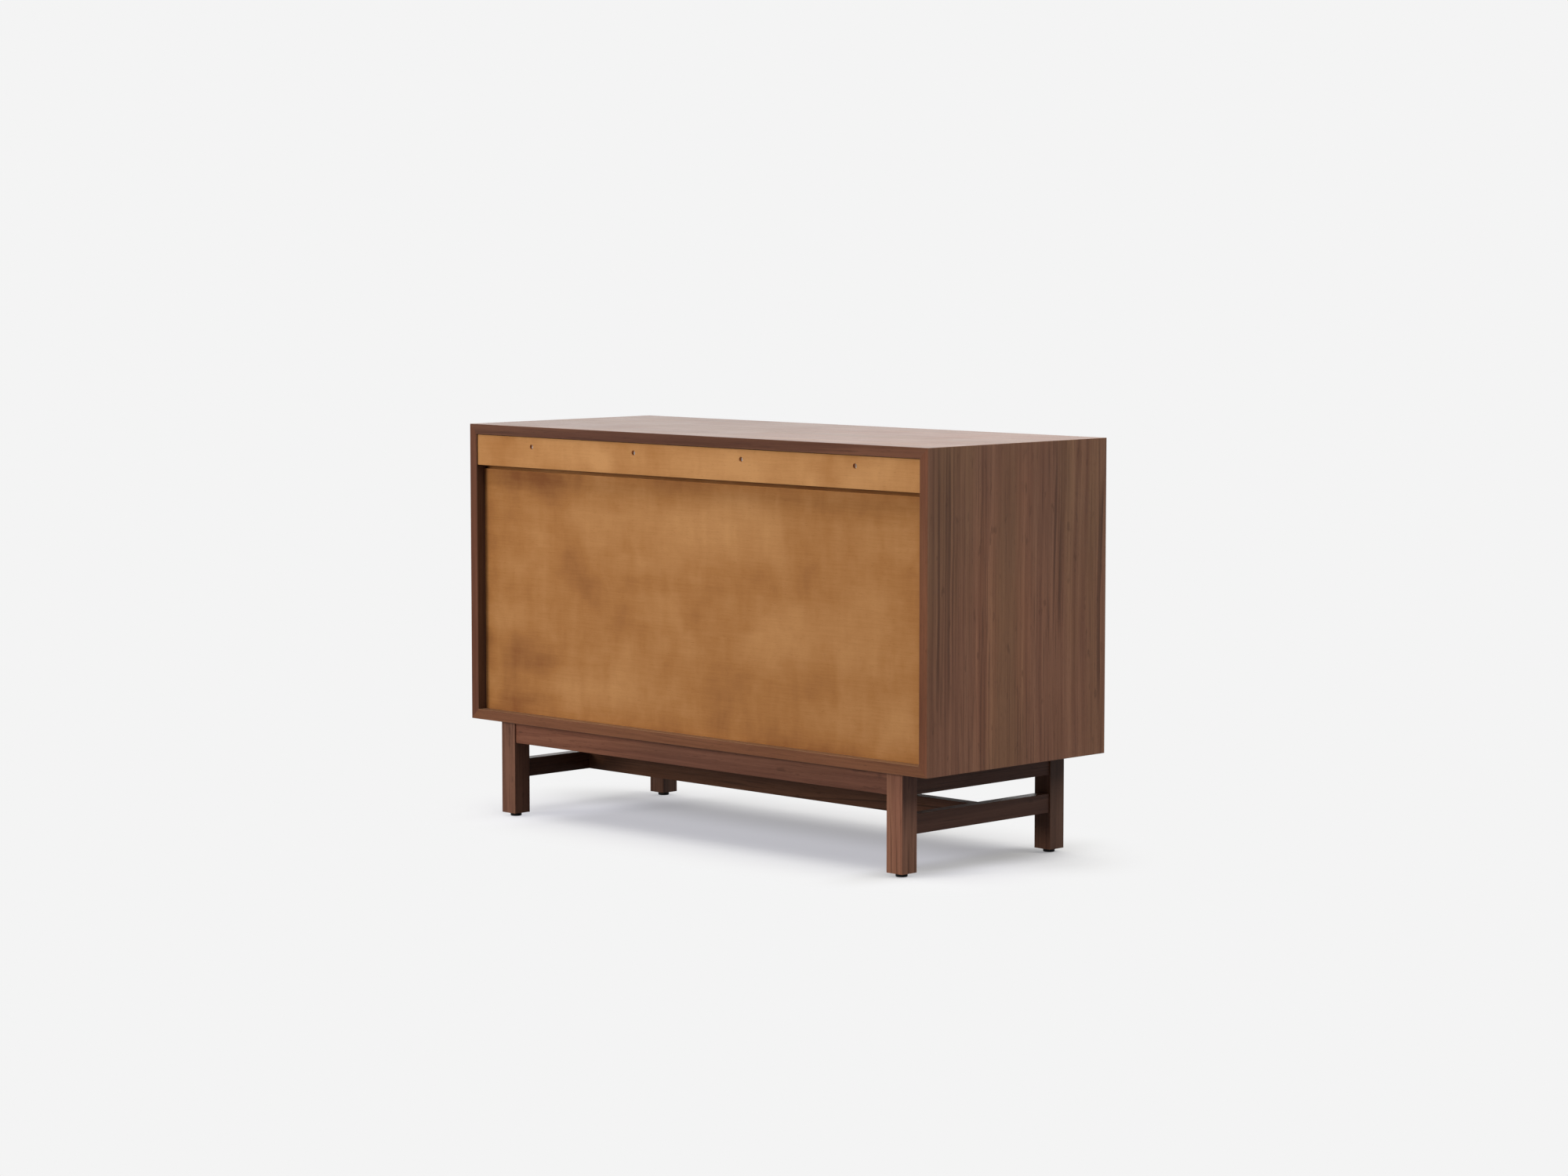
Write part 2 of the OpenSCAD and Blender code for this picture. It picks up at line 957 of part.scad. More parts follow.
module leveller_stem_front_right() {
    leveller_stem(1, leg_y_front);
}

module leveller_pad_rear_left() {
    leveller_pad(-1, leg_y_rear);
}

module leveller_stem_rear_left() {
    leveller_stem(-1, leg_y_rear);
}

module leveller_pad_rear_right() {
    leveller_pad(1, leg_y_rear);
}

module leveller_stem_rear_right() {
    leveller_stem(1, leg_y_rear);
}

// ---------- assembly ----------

top_panel();
bottom_panel();
side_panel_left();
side_panel_right();
mitre_splines();
center_divider();
divider_dowels();
back_panel();
back_rail();
back_rail_cleat();
back_rail_screws();
cleat_dowels();
shelf_left();
shelf_right();
shelf_pins();
pivot_sockets();
pivot_socket_screws();
pivot_washers();
catch_housings();
catch_magnets();
catch_screws();
door_bumpers();
leg_front_left();
leg_front_right();
leg_rear_left();
leg_rear_right();
apron_front();
apron_rear();
apron_left();
apron_right();
stretcher_left();
stretcher_right();
stretcher_center();
base_tenons();
base_cleats();
base_screws();
leveller_inserts();
door_left();
knob_left();
knob_screw_left();
pivot_plates_left();
pivot_screws_left();
catch_strike_left();
door_right();
knob_right();
knob_screw_right();
pivot_plates_right();
pivot_screws_right();
catch_strike_right();
leveller_pad_front_left();
leveller_stem_front_left();
leveller_pad_front_right();
leveller_stem_front_right();
leveller_pad_rear_left();
leveller_stem_rear_left();
leveller_pad_rear_right();
leveller_stem_rear_right();
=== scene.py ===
import json
import math

import bmesh
import bpy
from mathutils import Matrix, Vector


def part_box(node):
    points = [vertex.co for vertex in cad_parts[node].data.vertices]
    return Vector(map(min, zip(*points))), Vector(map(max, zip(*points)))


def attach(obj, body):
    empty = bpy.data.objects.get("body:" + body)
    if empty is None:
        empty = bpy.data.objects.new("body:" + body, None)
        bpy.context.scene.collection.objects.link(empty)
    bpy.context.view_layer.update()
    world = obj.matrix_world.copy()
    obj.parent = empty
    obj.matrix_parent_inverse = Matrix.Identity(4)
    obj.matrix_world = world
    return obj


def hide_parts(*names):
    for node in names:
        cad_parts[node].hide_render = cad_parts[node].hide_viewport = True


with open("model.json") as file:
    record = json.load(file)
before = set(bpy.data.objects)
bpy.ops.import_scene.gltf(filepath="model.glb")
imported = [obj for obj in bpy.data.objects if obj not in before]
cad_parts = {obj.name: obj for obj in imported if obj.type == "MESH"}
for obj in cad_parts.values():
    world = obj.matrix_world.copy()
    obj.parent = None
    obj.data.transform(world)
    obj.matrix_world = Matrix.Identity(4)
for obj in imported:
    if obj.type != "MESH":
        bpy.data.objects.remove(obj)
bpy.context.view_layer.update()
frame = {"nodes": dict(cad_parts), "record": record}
NODES = frame["nodes"]
BODY_OF = {n: b for b, members in frame["record"]["behaviour"]["bodies"].items() for n in members}
SLOT_OF = {s["node"]: s["material_slot"] for s in frame["record"]["subparts"]}

MM = 0.001  # the frame is in metres

# ---------------------------------------------------------------- node trees


class Shader:
    """A material with short names for making and linking its nodes."""

    def __init__(self, name):
        self.material = bpy.data.materials.new(name)
        self.material.use_nodes = True
        self.tree = self.material.node_tree
        self.surface = self.tree.nodes["Principled BSDF"]

    def put(self, kind, inputs, **settings):
        made = self.tree.nodes.new(kind)
        for key, value in settings.items():
            setattr(made, key, value)
        for key, value in inputs.items():
            self.feed(made.inputs[key], value)
        return made

    def feed(self, socket, value):
        if isinstance(value, bpy.types.NodeSocket):
            self.tree.links.new(value, socket)
        else:
            socket.default_value = value

    def maths(self, operation, a, b=0.0):
        return self.put("ShaderNodeMath", {0: a, 1: b}, operation=operation).outputs[0]

    def plus(self, a, b):
        return self.maths("ADD", a, b)

    def minus(self, a, b):
        return self.maths("SUBTRACT", a, b)

    def times(self, a, b):
        return self.maths("MULTIPLY", a, b)

    def weighed(self, *layers):
        """The sum of layers, each given with its weight."""
        total = self.times(*layers[0])
        for layer, weight in layers[1:]:
            total = self.plus(total, self.times(layer, weight))
        return total

    def vectors(self, operation, a, b):
        return self.put("ShaderNodeVectorMath", {0: a, 1: b}, operation=operation).outputs[0]

    def unsigned(self, a):
        """A vector with each of its parts made positive."""
        return self.put("ShaderNodeVectorMath", {0: a}, operation="ABSOLUTE").outputs[0]

    def length(self, a):
        return self.put("ShaderNodeVectorMath", {0: a}, operation="LENGTH").outputs["Value"]

    def parts(self, vector):
        return self.put("ShaderNodeSeparateXYZ", {0: vector}).outputs

    def noise(self, vector, scale, detail=2.0, rough=0.5, distortion=0.0):
        return self.put("ShaderNodeTexNoise", {
            "Vector": vector, "Scale": scale, "Detail": detail,
            "Roughness": rough, "Distortion": distortion,
        }).outputs[0]

    def drawn_out(self, vector, scale, detail=2.0, rough=0.5, distortion=0.0):
        """Noise with its own number of features per metre along and across the grain."""
        return self.noise(self.stretch(vector, scale), 1.0, detail, rough, distortion)

    def noise_1d(self, value, scale, detail=2.0, rough=0.5):
        return self.put(
            "ShaderNodeTexNoise",
            {"W": value, "Scale": scale, "Detail": detail, "Roughness": rough},
            noise_dimensions="1D",
        ).outputs[0]

    def stretch(self, vector, scale, shift=(0, 0, 0)):
        return self.put(
            "ShaderNodeMapping", {"Vector": vector, "Scale": scale, "Location": shift}
        ).outputs[0]

    def span(self, value, low, high, to_low=0.0, to_high=1.0):
        """A soft step from one value to another."""
        return self.put("ShaderNodeMapRange", {
            "Value": value, "From Min": low, "From Max": high,
            "To Min": to_low, "To Max": to_high,
        }, interpolation_type="SMOOTHSTEP").outputs[0]

    def blend(self, amount, a, b, mode="MIX"):
        made = self.tree.nodes.new("ShaderNodeMix")
        made.data_type = "RGBA"
        made.blend_type = mode
        self.feed(made.inputs[0], amount)
        self.feed(made.inputs[6], a if isinstance(a, bpy.types.NodeSocket) else (*a, 1))
        self.feed(made.inputs[7], b if isinstance(b, bpy.types.NodeSocket) else (*b, 1))
        return made.outputs[2]

    def tinted(self, colour, factor):
        return self.blend(1.0, colour, factor, "MULTIPLY")

    def ramp(self, value, stops):
        made = self.put("ShaderNodeValToRGB", {0: value})
        elements = made.color_ramp.elements
        while len(elements) < len(stops):
            elements.new(0.5)
        for element, (place, colour) in zip(elements, stops):
            element.position = place
            element.color = (*colour, 1)
        return made.outputs[0]

    def bump(self, height, strength, distance):
        made = self.put("ShaderNodeBump", {
            "Height": height, "Strength": strength, "Distance": distance,
        })
        self.tree.links.new(made.outputs[0], self.surface.inputs["Normal"])

    def set_colour(self, colour):
        self.feed(self.surface.inputs["Base Color"], colour)

    def set_roughness(self, rough):
        self.feed(self.surface.inputs["Roughness"], rough)

    def object_place(self):
        return self.put("ShaderNodeTexCoord", {}).outputs["Object"]

    def attribute(self, name):
        return self.put("ShaderNodeAttribute", {}, attribute_name=name).outputs["Fac"]


# The turn that brings each grain direction onto the first axis
GRAIN_TURN = {
    "X": (0, 0, 0),
    "Y": (0, 0, -math.pi / 2),
    "Z": (0, math.pi / 2, 0),
}
SEED_STEP = (1.37, 2.11, 0.83)


def board_space(shader, node, axis, seed):
    """Places in a board, the grain on the first axis: from its middle, and shifted by a seed."""
    low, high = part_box(node)
    away = shader.vectors("SUBTRACT", shader.object_place(), (low + high) / 2)
    along = shader.put(
        "ShaderNodeMapping", {"Vector": away, "Rotation": GRAIN_TURN[axis]}
    ).outputs[0]
    shifted = shader.stretch(along, (1, 1, 1), [seed * step for step in SEED_STEP])
    return along, shifted


WANDER = 25 * MM
RIPPLE = 7 * MM


def ring_distance(shader, along, shifted, pith, slope):
    """How far a place is from the middle of the tree, with the slow wander of a real stem."""
    parts = shader.parts(along)
    wander = shader.drawn_out(shifted, (1.4, 2.0, 2.0), 2.0)
    ripple = shader.drawn_out(shifted, (7, 22, 22), 3.0)
    across = shader.minus(parts[1], pith[0])
    across = shader.plus(across, shader.times(wander, WANDER))
    deep = shader.minus(parts[2], pith[1])
    deep = shader.plus(deep, shader.times(parts[0], slope))
    deep = shader.plus(deep, shader.times(wander, WANDER))
    squares = shader.plus(shader.times(across, across), shader.times(deep, deep))
    return shader.plus(shader.maths("SQRT", squares), shader.times(ripple, RIPPLE))


# Dark vein, dark, middle and pale wood
WALNUT_TONES = {
    "walnut": (
        (0.066, 0.029, 0.017), (0.150, 0.068, 0.038), (0.188, 0.090, 0.050), (0.230, 0.115, 0.064),
    ),
    "walnut_door": (
        (0.066, 0.029, 0.017), (0.156, 0.070, 0.039), (0.196, 0.093, 0.051), (0.240, 0.119, 0.066),
    ),
    "walnut_base": (
        (0.058, 0.024, 0.014), (0.140, 0.060, 0.036), (0.180, 0.080, 0.048), (0.225, 0.104, 0.063),
    ),
}
# Factors on the colour of the wood
OLIVE = (0.99, 1.01, 0.96)
RED = (1.02, 0.98, 1.03)
# Redder solid edging, its full strength on the rear edges partly painted light
LIPPING_AND_PAINTED_LIGHT = (1.05, 0.83, 0.76)
# Painted shade on the marked flanks of legs and on the inner face of the right side board
PAINTED_SHADE_TINT = (0.66, 0.70, 0.74)
# Paler wood, and painted light, in the marked patches
PALE_AND_PAINTED_LIGHT = (1.11, 1.07, 1.05)
# How much of the dark vein colour shows in each mark
VEIN_DEPTH, LINE_DEPTH, PORE_DEPTH = 0.62, 0.45, 0.5
KNOT_DEPTH, QUIET_KNOT_DEPTH = 0.36, 0.16
# How far the hue noise goes from its middle, and the lowest and highest roughness
HUE_REACH, QUIET_HUE_REACH = 0.12, 0.20
ROUGHNESS, QUIET_ROUGHNESS = (0.36, 0.46), (0.39, 0.44)
GLOSS, TOP_GLOSS = 0.3, 0.45


def window(shader, parts, patch):
    """A soft patch of a board, from its place and half width across, and the same along."""
    across, half_width, along, half_length = patch
    aside = shader.maths("ABSOLUTE", shader.minus(parts[1], across))
    away = shader.maths("ABSOLUTE", shader.minus(parts[0], along))
    aside = shader.maths("DIVIDE", aside, half_width)
    away = shader.maths("DIVIDE", away, half_length)
    return shader.span(shader.maths("MAXIMUM", aside, away), 0.6, 1.2, 1.0, 0.0)


def walnut(
    node, axis, seed, pith, slope, painted_light_tint=(1, 1, 1), bundles=(), pale_and_lit_patches=(), quiet=False, gloss=GLOSS
):
    """Oiled walnut: quiet rings, dark veins, pin knots, pores, colour drift and rubbed edges, with
    painted light and shade in its tint, patches and marked faces.
    """
    shader = Shader(f"{node}_walnut")
    # The factor on the tones paints the part's light and shade into its colour
    vein_tone, dark, middle, pale = (
        tuple(c * t for c, t in zip(tone, painted_light_tint)) for tone in WALNUT_TONES[SLOT_OF[node]]
    )
    along, shifted = board_space(shader, node, axis, seed)
    rings = ring_distance(shader, along, shifted, pith, slope)
    broad = shader.noise_1d(shader.plus(rings, seed), 48.0, 3.0, 0.55)
    narrow = shader.noise_1d(shader.plus(rings, seed * 2.0), 170.0, 5.0, 0.72)
    streaks = shader.drawn_out(shifted, (4.5, 210, 210), 4.0, 0.65)
    drift = shader.drawn_out(shifted, (3.0, 8, 8), 4.0, 0.6)
    tone = shader.weighed((broad, 0.33), (narrow, 0.16), (streaks, 0.32), (drift, 0.19))
    colour = shader.ramp(tone, [(0.40, dark), (0.50, middle), (0.60, pale)])
    # The hue drifts in bands between an olive brown and a red brown
    hue = shader.drawn_out(shifted, (0.9, 9, 9), 3.0)
    reach = QUIET_HUE_REACH if quiet else HUE_REACH
    swing = shader.blend(shader.span(hue, 0.5 - reach, 0.5 + reach), OLIVE, RED)
    colour = shader.tinted(colour, swing)
    # Bundles of dark veins that follow the rings and die away along the board
    vein = shader.noise_1d(shader.plus(rings, seed * 3.0 + 5.0), 250.0, 2.0, 0.5)
    vein = shader.span(vein, 0.54, 0.64)
    bundle = shader.noise_1d(shader.plus(rings, seed * 5.0 + 3.0), 17.0, 1.0)
    gate = shader.drawn_out(shifted, (2.6, 3, 3), 2.0)
    gate = shader.times(shader.span(gate, 0.45, 0.60), shader.span(bundle, 0.58, 0.68))
    parts = shader.parts(along)
    vein = shader.times(vein, gate)
    if bundles:
        coarse = shader.noise_1d(shader.plus(rings, seed * 3.0 + 9.0), 120.0, 3.0, 0.6)
        coarse = shader.span(coarse, 0.47, 0.60)
        for patch in bundles:
            marked = shader.times(coarse, window(shader, parts, patch))
            vein = shader.maths("MAXIMUM", vein, marked)
    colour = shader.blend(shader.times(vein, VEIN_DEPTH), colour, vein_tone)
    # Patches where the wood is a little paler, and patches of painted light
    for patch in pale_and_lit_patches:
        lit = shader.tinted(colour, PALE_AND_PAINTED_LIGHT)
        colour = shader.blend(window(shader, parts, patch), colour, lit)
    # Fine dark lines, long and thin, that come and go in patches
    lines = shader.drawn_out(shifted, (6, 330, 330), 2.0, 0.5)
    lines = shader.span(lines, 0.55, 0.66)
    here = shader.drawn_out(shifted, (2.2, 26, 26), 2.0)
    lines = shader.times(lines, shader.span(here, 0.40, 0.62, 0.15, 1.0))
    colour = shader.blend(shader.times(lines, LINE_DEPTH), colour, vein_tone)
    # Small pin knots and flecks
    knots = shader.drawn_out(shifted, (26, 95, 95), 2.0, 0.5)
    knots = shader.span(knots, 0.655, 0.74)
    knots = shader.times(knots, QUIET_KNOT_DEPTH if quiet else KNOT_DEPTH)
    colour = shader.blend(knots, colour, vein_tone)
    # Open pores, short dark dashes along the grain
    pores = shader.drawn_out(shifted, (55, 1100, 1100), 2.0, 0.5)
    pores = shader.span(pores, 0.60, 0.70)
    crowd = shader.span(narrow, 0.35, 0.62, 1.0, 0.35)
    pores = shader.times(pores, crowd)
    colour = shader.blend(shader.times(pores, PORE_DEPTH), colour, vein_tone)
    # Solid edging is redder, and more so on the rear edges than the front as painted light; marked
    # flanks are darker as painted shade, and rubbed arrises are a little paler
    for mark, factor in (("lipping_and_painted_light", LIPPING_AND_PAINTED_LIGHT), ("painted_shade", PAINTED_SHADE_TINT)):
        marked = shader.attribute(mark)
        colour = shader.blend(marked, colour, shader.tinted(colour, factor))
    worn = shader.attribute("worn")
    colour = shader.blend(shader.times(worn, 0.35), colour, pale)
    shader.set_colour(colour)
    smudge = shader.drawn_out(shifted, (7, 7, 7), 3.0, 0.6)
    rough = shader.span(smudge, 0.3, 0.7, *(QUIET_ROUGHNESS if quiet else ROUGHNESS))
    rough = shader.plus(rough, shader.times(pores, 0.25))
    rough = shader.minus(rough, shader.times(worn, 0.08))
    shader.set_roughness(rough)
    shader.surface.inputs["Specular IOR Level"].default_value = gloss
    height = shader.minus(shader.times(streaks, 0.35), pores)
    shader.bump(height, 0.30, 0.25 * MM)
    return shader.material


BIRCH_DARK = (0.290, 0.106, 0.033)
BIRCH_MID = (0.472, 0.204, 0.062)
BIRCH_LIGHT = (0.640, 0.318, 0.120)
BIRCH_GLOSS = 0.22
# Painted shade along the edges of a sheet starts this far inside them, and is full this close to
# them
RIM_REACH, RIM_FULL = 75 * MM, 15 * MM


def birch(node, axis, seed, shade=1.0, patches=(), edge_shade=0.0):
    """Birch under an amber stain: uneven blotches, flecks along the grain, faint curl across it,
    and painted shade along the edges of the sheet where asked.
    """
    shader = Shader(f"{node}_birch")
    _, shifted = board_space(shader, node, axis, seed)
    clouds = shader.drawn_out(shifted, (4.4, 4.6, 4.6), 4.0, 0.5, 0.3)
    bands = shader.drawn_out(shifted, (1.6, 15, 15), 4.0, 0.55)
    mottle = shader.drawn_out(shifted, (19, 15, 15), 4.0, 0.6, 0.3)
    curl = shader.drawn_out(shifted, (46, 7, 7), 2.0)
    silk = shader.drawn_out(shifted, (16, 420, 420), 3.0, 0.6)
    tone = shader.weighed(
        (clouds, 0.44), (bands, 0.18), (mottle, 0.20), (curl, 0.08), (silk, 0.10)
    )
    low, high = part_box(node)
    middle = (low + high) / 2
    size = high - low
    place = shader.object_place()
    # The patches: blotches of the stain, and some dark ones that are painted shade
    for x_share, z_share, x_reach, z_reach, strength in patches:
        centre = Vector((high.x - x_share * size.x, middle.y, low.z + z_share * size.z))
        reach = Vector((x_reach * size.x, 10.0, z_reach * size.z))
        away = shader.vectors("SUBTRACT", place, centre)
        away = shader.length(shader.vectors("DIVIDE", away, reach))
        ragged = shader.plus(away, shader.times(bands, 0.9))
        tone = shader.plus(tone, shader.span(ragged, 0.45, 1.45, strength, 0.0))
    if edge_shade:
        # Painted shade along the edges of the sheet, where it sits in its recess
        inset = shader.unsigned(shader.vectors("SUBTRACT", place, middle))
        sides = shader.parts(shader.vectors("SUBTRACT", size / 2, inset))
        near = shader.maths("MINIMUM", sides[0], sides[2])
        near = shader.plus(near, shader.times(mottle, 0.03))
        tone = shader.plus(tone, shader.span(near, RIM_FULL, RIM_REACH, edge_shade, 0.0))
    colour = shader.ramp(tone, [(0.30, BIRCH_DARK), (0.47, BIRCH_MID), (0.66, BIRCH_LIGHT)])
    flecks = shader.drawn_out(shifted, (75, 760, 760), 2.0, 0.5)
    flecks = shader.span(flecks, 0.62, 0.72)
    colour = shader.blend(shader.times(flecks, 0.30), colour, BIRCH_DARK)
    worn = shader.attribute("worn")
    colour = shader.blend(shader.times(worn, 0.4), colour, BIRCH_LIGHT)
    if shade != 1.0:
        colour = shader.tinted(colour, (shade, shade, shade))
    shader.set_colour(colour)
    smudge = shader.drawn_out(shifted, (6, 6, 6), 3.0)
    rough = shader.span(smudge, 0.3, 0.7, 0.48, 0.60)
    shader.set_roughness(shader.plus(rough, shader.times(flecks, 0.15)))
    shader.surface.inputs["Specular IOR Level"].default_value = BIRCH_GLOSS
    shader.bump(shader.minus(silk, shader.times(flecks, 0.6)), 0.18, 0.15 * MM)
    return shader.material


BEECH_DARK = (0.42, 0.25, 0.12)
BEECH_LIGHT = (0.60, 0.40, 0.22)
BEECH_RAY = (0.30, 0.16, 0.08)


def beech(node, axis, seed):
    """Plain beech with its short ray flecks."""
    shader = Shader(f"{node}_beech")
    _, shifted = board_space(shader, node, axis, seed)
    bands = shader.drawn_out(shifted, (3, 90, 90), 3.0)
    rays = shader.span(shader.drawn_out(shifted, (240, 900, 900), 1.0), 0.6, 0.68)
    colour = shader.ramp(bands, [(0.35, BEECH_DARK), (0.65, BEECH_LIGHT)])
    colour = shader.blend(shader.times(rays, 0.5), colour, BEECH_RAY)
    shader.set_colour(colour)
    shader.set_roughness(shader.span(bands, 0.3, 0.7, 0.55, 0.68))
    shader.bump(shader.minus(bands, rays), 0.2, 0.15 * MM)
    return shader.material


def metal(name, pale, dark, rough, brushed, bare=1.0):
    """A satin metal with fine turning marks, a little tarnish and finger marks."""
    shader = Shader(name)
    place = shader.object_place()
    lines = shader.drawn_out(place, brushed, 2.0, 0.6)
    tarnish = shader.noise(place, 70.0, 4.0, 0.6)
    spots = shader.span(shader.noise(place, 900.0, 2.0), 0.62, 0.72)
    colour = shader.blend(shader.span(tarnish, 0.35, 0.7), pale, dark)
    colour = shader.blend(shader.times(spots, 0.15), colour, dark)
    shader.set_colour(colour)
    shader.surface.inputs["Metallic"].default_value = bare
    varied = shader.span(lines, 0.3, 0.7, rough - 0.06, rough + 0.10)
    shader.set_roughness(shader.plus(varied, shader.times(spots, 0.06)))
    shader.bump(lines, 0.10, 0.02 * MM)
    return shader.material


def plastic(name, colour, other, rough, grain):
    """Moulded plastic with a fine texture and slight scuffs."""
    shader = Shader(name)
    place = shader.object_place()
    pebbles = shader.noise(place, grain, 3.0, 0.55)
    scuffs = shader.noise(place, 130.0, 4.0, 0.65)
    shader.set_colour(shader.blend(shader.span(scuffs, 0.45, 0.75), colour, other))
    shader.set_roughness(shader.span(scuffs, 0.3, 0.7, rough, rough + 0.14))
    shader.bump(pebbles, 0.25, 0.05 * MM)
    return shader.material


# ---------------------------------------------------------------- pieces


SAME_PLACE = 0.001 * MM
SAME_PLANE_ANGLE = math.radians(0.3)


def welded(node):
    """A welded mesh of a CAD node, with its flat faces made whole."""
    made = bmesh.new()
    made.from_mesh(NODES[node].data)
    bmesh.ops.remove_doubles(made, verts=made.verts, dist=SAME_PLACE)
    bmesh.ops.dissolve_limit(
        made, angle_limit=SAME_PLANE_ANGLE, use_dissolve_boundaries=False,
        verts=made.verts, edges=made.edges,
    )
    for face in made.faces:
        face.smooth = False
    return made


def settle(made, name, node, material):
    """Turns finished mesh code into a mesh and puts it in place of its CAD node."""
    mesh = bpy.data.meshes.new(name)
    made.to_mesh(mesh)
    made.free()
    place_mesh(mesh, name, node, material)


def place_mesh(mesh, name, node, material):
    """Puts a mesh into the scene in place of a CAD node, on the node's body."""
    obj = bpy.data.objects.new(name, mesh)
    bpy.context.scene.collection.objects.link(obj)
    mesh.materials.clear()
    mesh.materials.append(material)
    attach(obj, BODY_OF[node])
    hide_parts(node)


ON_PLANE = 0.02 * MM


def arrises(made, low, high, axes):
    """Edges along the box of a piece that run in one of the given directions."""
    found = []
    for edge in made.edges:
        a, b = (v.co for v in edge.verts)
        shared = set()
        for i in range(3):
            for plane in (low[i], high[i]):
                if abs(a[i] - plane) < ON_PLANE and abs(b[i] - plane) < ON_PLANE:
                    shared.add(i)
        free = {0, 1, 2} - shared
        if len(free) == 1 and "XYZ"[free.pop()] in axes:
            found.append(edge)
    return found


CORNER_FLATS = [math.radians(turn) for turn in (22.5, 45.0, 67.5)]


def round_corners(made, corners, radius):
    """Rounds the outer corners of a mitred case across both boards, three flats to a corner."""
    worn = made.faces.layers.float["worn"]
    for x, z, sx, sz in corners:
        middle = Vector((x - sx * radius, 0, z - sz * radius))
        for turn in CORNER_FLATS:
            out = Vector((sx * math.cos(turn), 0, sz * math.sin(turn)))
            cut = bmesh.ops.bisect_plane(
                made, geom=made.verts[:] + made.edges[:] + made.faces[:],
                plane_co=middle + out * radius, plane_no=out, clear_outer=True,
            )["geom_cut"]
            edges = [e for e in cut if isinstance(e, bmesh.types.BMEdge) and e.is_boundary]
            if edges:
                for face in bmesh.ops.holes_fill(made, edges=edges)["faces"]:
                    face[worn] = 1.0


# Legs whose flanks get painted shade
SHADED_FLANKS = ["leg_rear_left", "leg_front_left", "leg_front_right"]
# The front edges get less of the edging tint; the extra on the rear edges is painted light
FRONT_LIPPING = 0.6
ARRIS_SEGMENTS = 3
# A face looks along an axis when its normal has more than this of it
FACES_ALONG = 0.9


def eased(node, material, radius, axes="XYZ", corners=()):
    """A CAD piece with the arrises that show rounded over, and its faces marked for the wood and
    for painted light and shade.
    """
    made = welded(node)
    low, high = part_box(node)
    lipping_and_painted_light = made.faces.layers.float.new("lipping_and_painted_light")
    painted_shade = made.faces.layers.float.new("painted_shade")
    worn = made.faces.layers.float.new("worn")
    for face in made.faces:
        # Edging tint on the front and rear edges of the case boards, partly painted light on the
        # rear
        if corners and abs(face.normal.y) > FACES_ALONG:
            face[lipping_and_painted_light] = 1.0 if face.normal.y > 0 else FRONT_LIPPING
        # Painted shade on the flanks of these legs and on the inner face of the right side board,
        # in the recess
        leg_flank = node in SHADED_FLANKS and abs(face.normal.x) > FACES_ALONG
        inner_face = node == "side_panel_right" and face.normal.x < -FACES_ALONG
        face[painted_shade] = float(leg_flank or inner_face)
    chosen = arrises(made, low, high, axes)
    result = bmesh.ops.bevel(
        made, geom=chosen, offset=radius, segments=ARRIS_SEGMENTS, profile=0.5,
        affect="EDGES", clamp_overlap=True,
    )
    for face in result["faces"]:
        face[worn] = 1.0
    if corners:
        round_corners(made, corners, radius)
    settle(made, f"{node}_eased", node, material)


def islands(made):
    """The separate solids of a mesh, as lists of vertices."""
    left = set(made.verts)
    found = []
    while left:
        start = min(left, key=lambda v: v.index)
        group, waiting = {start}, [start]
        while waiting:
            vertex = waiting.pop()
            for edge in vertex.link_edges:
                other = edge.other_vert(vertex)
                if other not in group:
                    group.add(other)
                    waiting.append(other)
        left -= group
        found.append(sorted(group, key=lambda v: v.index))
    return found


# A screw is round within this share of its width, and at least this many times as long as wide
ROUND_WITHIN = 0.03
SCREW_SLENDER = 1.5
ON_END = 0.01 * MM


def head_of(group):
    """Centre, outward direction and radius of a screw's head, or None where a solid is no screw."""
    low = Vector([min(v.co[i] for v in group) for i in range(3)])
    high = Vector([max(v.co[i] for v in group) for i in range(3)])
    size = high - low
    axis = max(range(3), key=lambda i: size[i])
    cross = [size[i] for i in range(3) if i != axis]
    wide = max(cross)
    if abs(cross[0] - cross[1]) > ROUND_WITHIN * wide or size[axis] < SCREW_SLENDER * wide:
        return None
    centre = (low + high) / 2

    def reach(level):
        ring = [v.co - centre for v in group if abs(v.co[axis] - level) < ON_END]
        return max(Vector([c for i, c in enumerate(co) if i != axis]).length for co in ring)

    end = max((low[axis], high[axis]), key=reach)
    out = Vector((0, 0, 0))
    out[axis] = 1.0 if end > centre[axis] else -1.0
    centre[axis] = end
    return centre, out, reach(end)


# Shares of the head's radius, and how much narrower the cross is at its bottom
CROSS_ARM = 0.62
CROSS_HALF_WIDTH = 0.13
CROSS_DEPTH = 0.42
CROSS_TAPER = 0.5
CROSS_ABOVE = 0.3 * MM


def add_cross(made, centre, out, radius):
    """A tapered cross, to cut the drive out of a screw head."""
    a, b = CROSS_ARM * radius, CROSS_HALF_WIDTH * radius
    outline = [
        (a, -b), (a, b), (b, b), (b, a), (-b, a), (-b, b),
        (-a, b), (-a, -b), (-b, -b), (-b, -a), (b, -a), (b, -b),
    ]
    turn = out.to_track_quat("Z", "Y").to_matrix()
    rings = []
    for depth, scale in ((CROSS_ABOVE, 1.0), (-CROSS_DEPTH * radius, CROSS_TAPER)):
        rings.append([
            made.verts.new(centre + turn @ Vector((x * scale, y * scale, depth)))
            for x, y in outline
        ])
    top, bottom = rings
    made.faces.new(top)
    made.faces.new(reversed(bottom))
    for i, first in enumerate(top):
        j = (i + 1) % len(top)
        made.faces.new((first, bottom[i], bottom[j], top[j]))


SHARP_ANGLE = math.radians(25)


